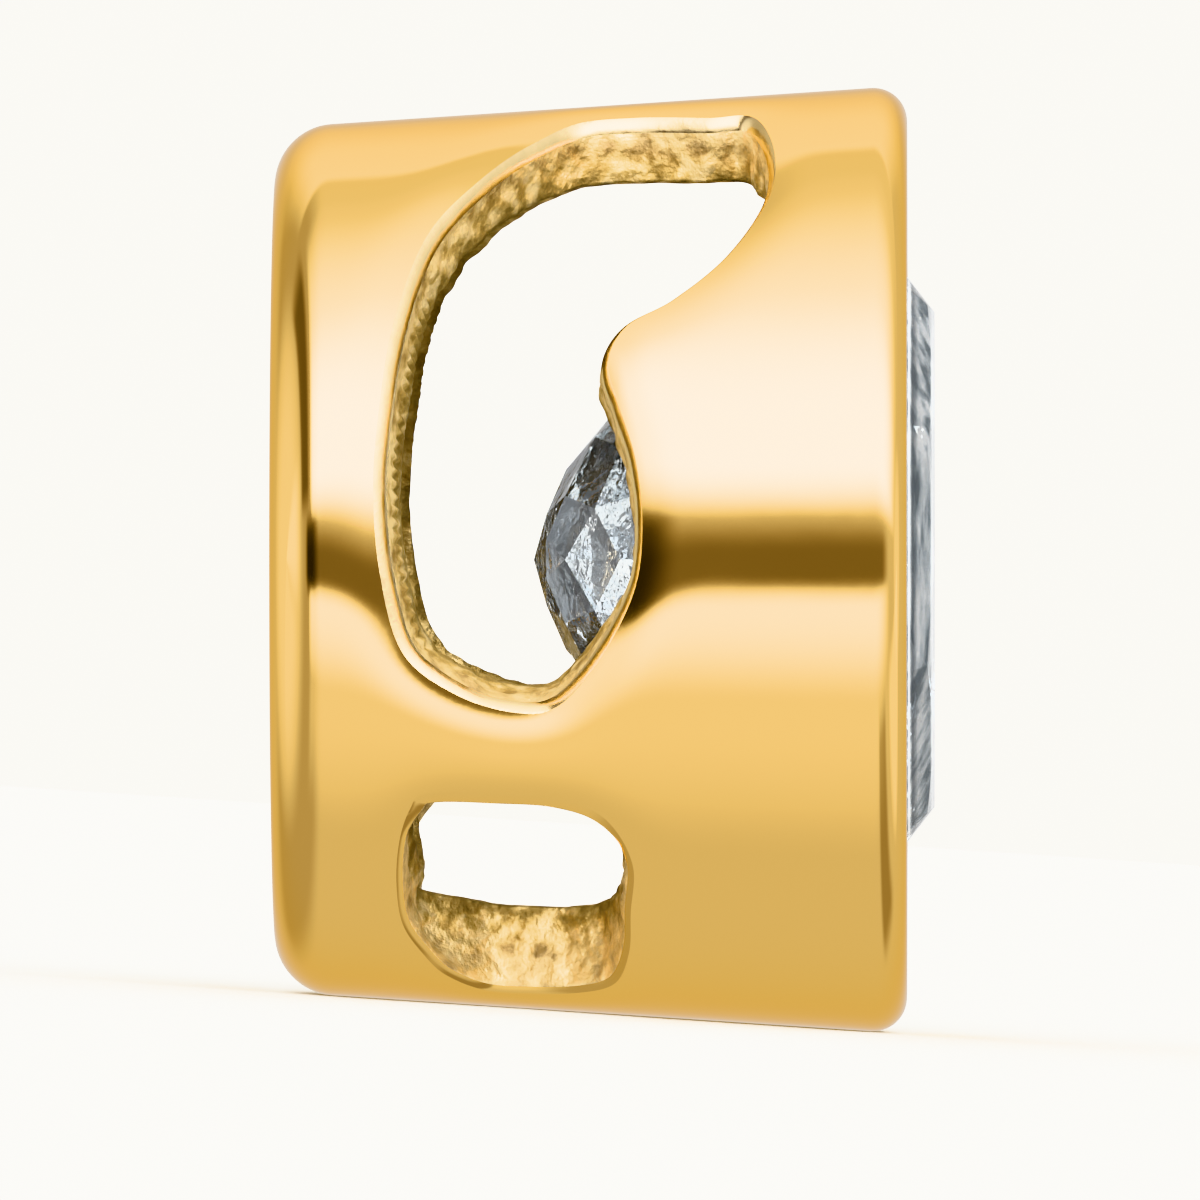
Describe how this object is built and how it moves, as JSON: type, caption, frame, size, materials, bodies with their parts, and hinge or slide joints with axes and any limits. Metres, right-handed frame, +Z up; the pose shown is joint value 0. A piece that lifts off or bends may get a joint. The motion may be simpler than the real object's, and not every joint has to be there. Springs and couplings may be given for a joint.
{
  "type": "slide pendant",
  "caption": "Hollow conical drum of polished yellow gold with a round clear stone set flush in its front and open sides for a chain to slide through.",
  "frame": {"origin": "centre of the part's box, on the surface that the side wall lies on", "axes": "+Z up, the stone faces -Y and 3.8 degrees upwards, X runs across through the side openings, and X = 0 is the mirror plane"},
  "size_m": [0.0088, 0.0066, 0.0088],
  "materials": {
    "gold": "mirror-polished yellow gold outside, rough as-cast inside the openings",
    "clear_stone": "colourless, faceted and polished"
  },
  "bodies": {
    "root": {"housing": "gold", "stone": "clear_stone"}
  },
  "joints": []
}
